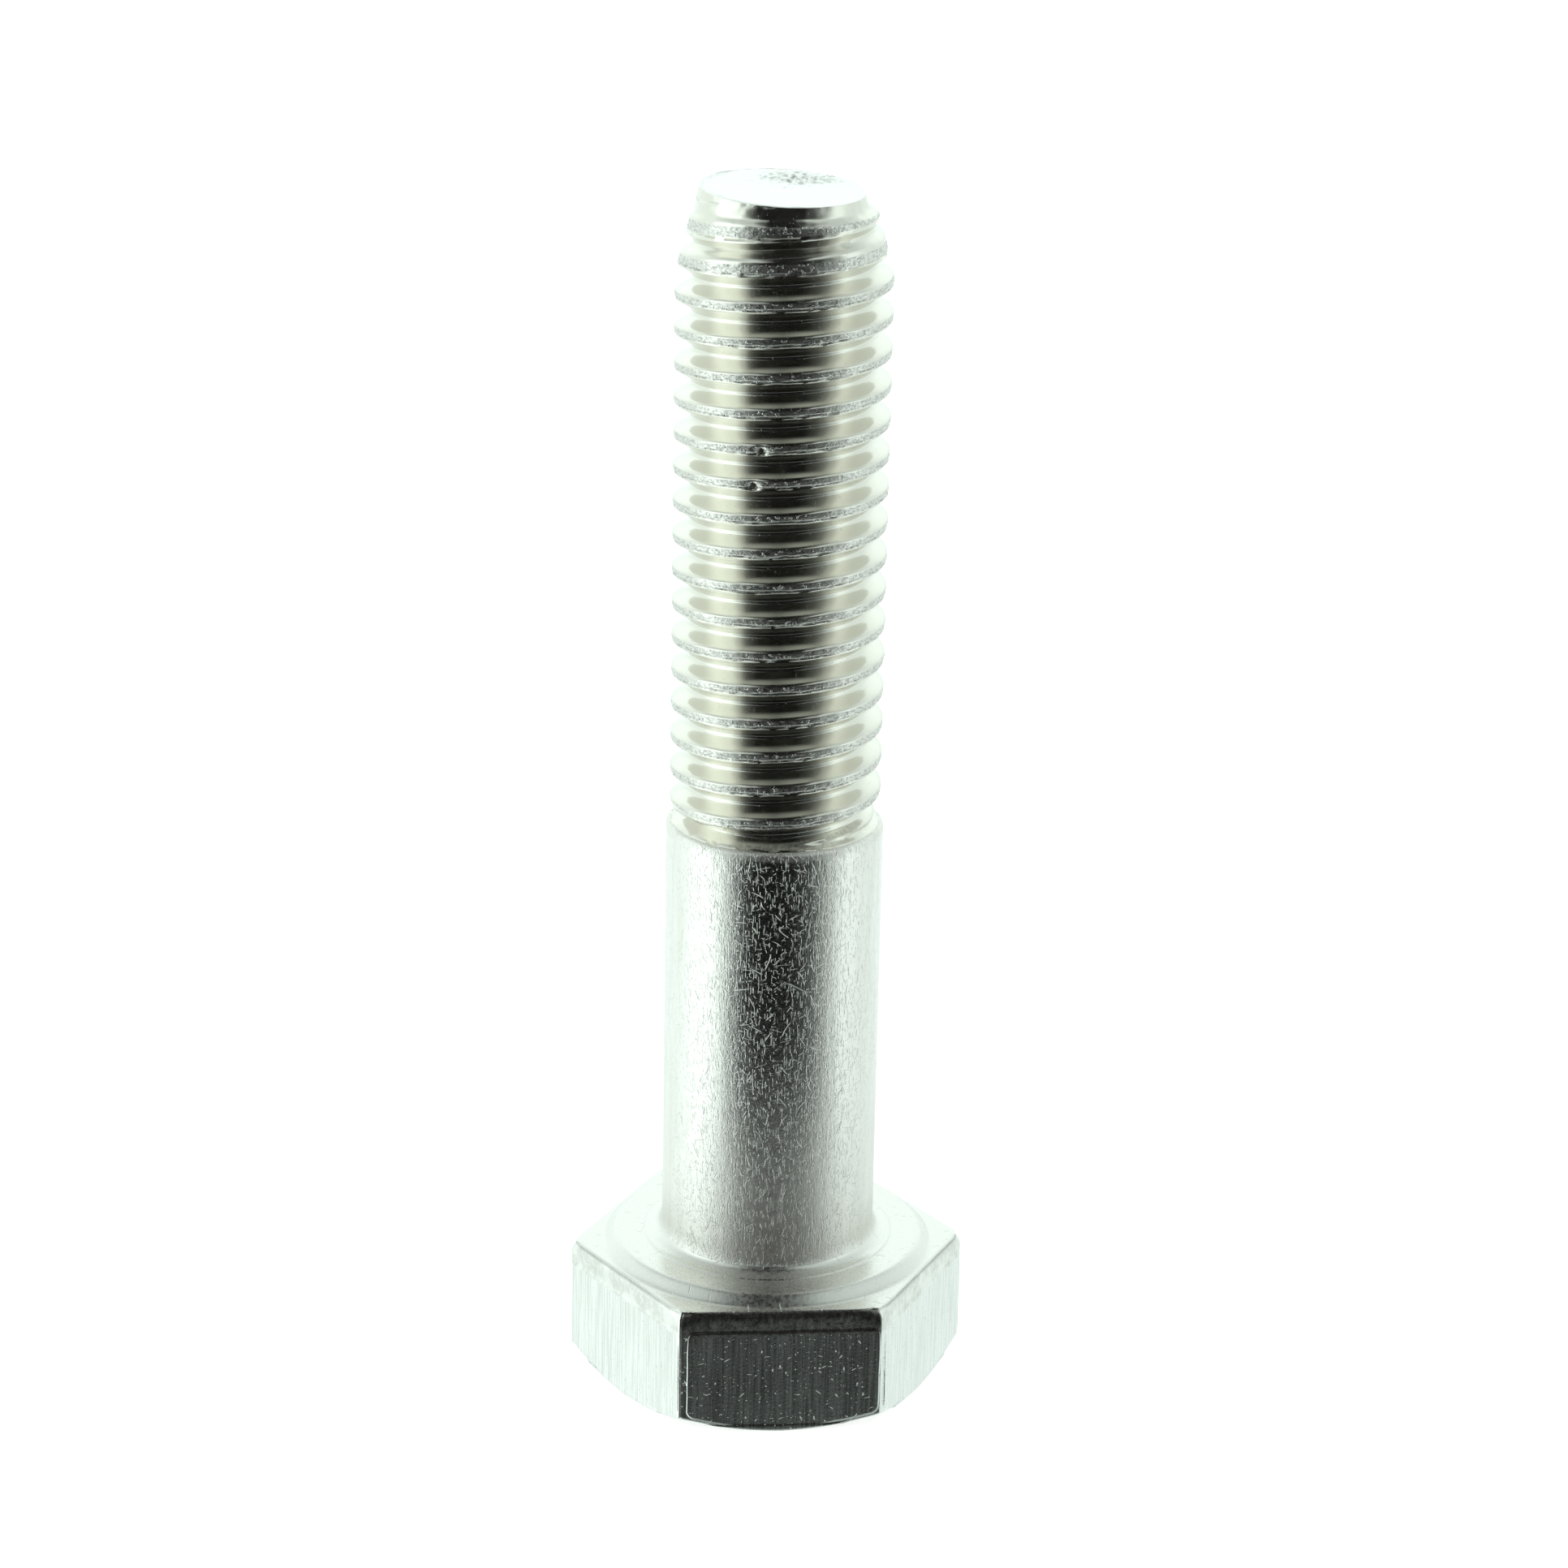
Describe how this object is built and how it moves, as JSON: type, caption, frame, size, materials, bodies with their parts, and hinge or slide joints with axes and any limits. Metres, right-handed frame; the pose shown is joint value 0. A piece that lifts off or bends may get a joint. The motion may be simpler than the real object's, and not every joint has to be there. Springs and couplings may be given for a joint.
{
  "type": "hex bolt",
  "caption": "Stainless hexagon head bolt with a plain shank, a raised washer face and a rolled right-hand thread at the tip end.",
  "frame": {"origin": "centre of the head's outer face, the flat that the bolt stands on", "axes": "+Z along the bolt's axis from the head to the threaded tip; two of the hexagon's flats face -Y and +Y"},
  "size_m": [0.015, 0.013, 0.0453],
  "materials": {
    "stainless_steel": "bright rolled thread, dull drawn shank with fine handling scratches, vertically scored trimmed flats"
  },
  "bodies": {
    "root": {"hex_bolt": "stainless_steel"}
  },
  "joints": []
}
